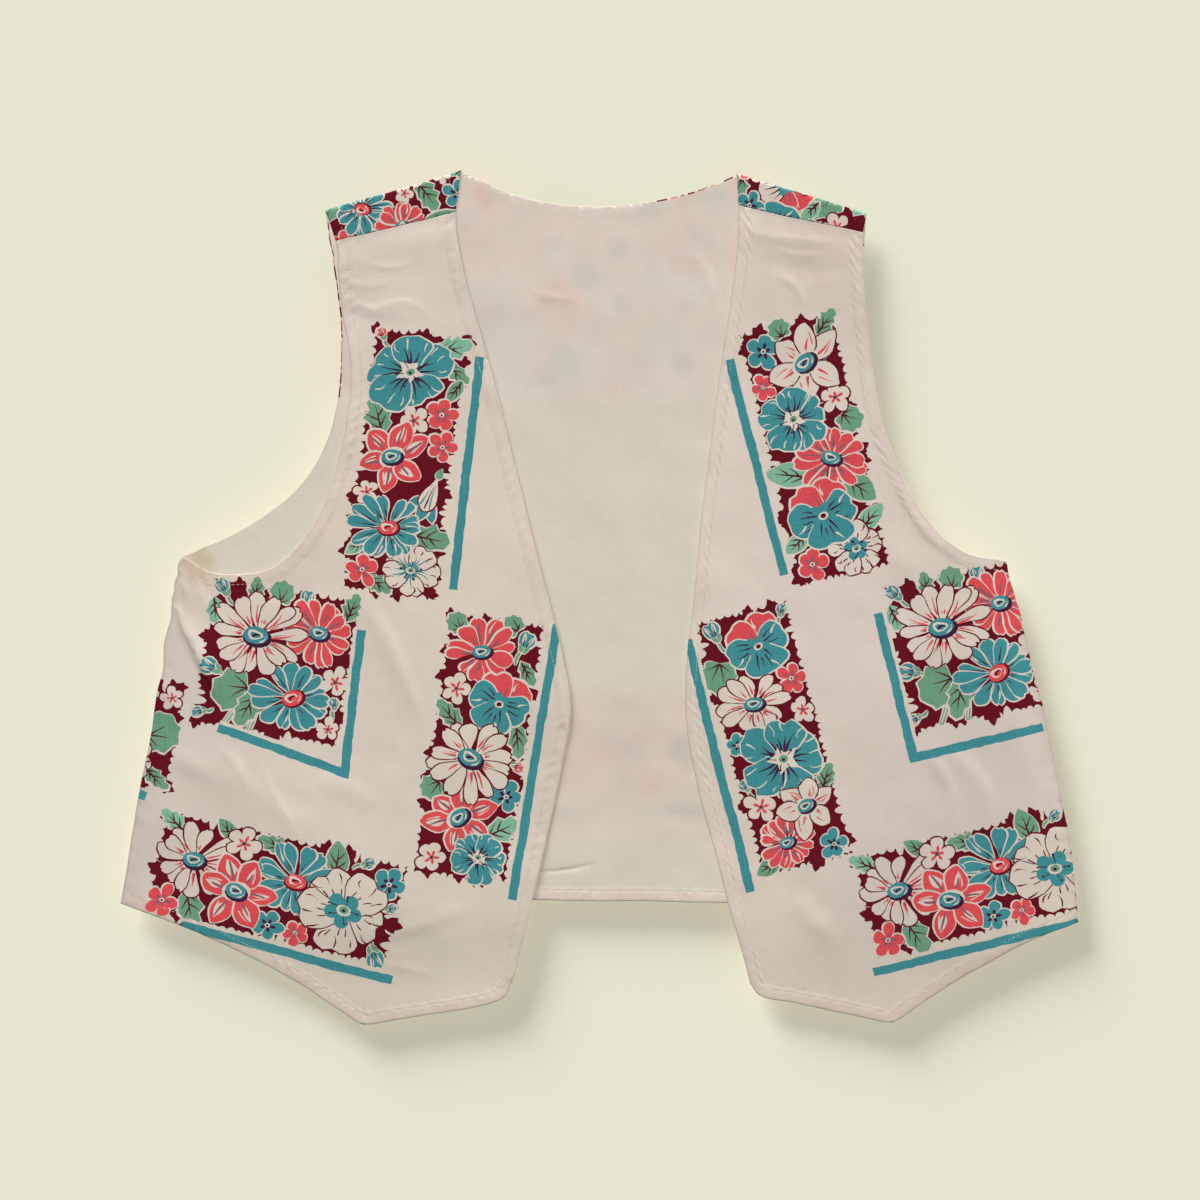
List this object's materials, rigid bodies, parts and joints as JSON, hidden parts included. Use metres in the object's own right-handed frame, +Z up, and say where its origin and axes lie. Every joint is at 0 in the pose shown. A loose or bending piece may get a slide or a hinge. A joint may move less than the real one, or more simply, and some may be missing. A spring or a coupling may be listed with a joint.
{
  "type": "waistcoat",
  "caption": "Cropped sleeveless waistcoat of printed cotton, open in front with pointed hems, laid flat with its shoulders folded forward.",
  "frame": {"origin": "middle of the whole outline, on the surface that the waistcoat lies on", "axes": "+X to the wearer's left, across the body; +Y from hem to neck; +Z up, out of the front of the laid garment"},
  "size_m": [0.555, 0.495, 0.0062],
  "materials": {
    "printed_cotton": "matt plain-woven cotton with a block print"
  },
  "bodies": {
    "root": {"back": "printed_cotton", "right_front": "printed_cotton", "left_front": "printed_cotton"}
  },
  "joints": []
}
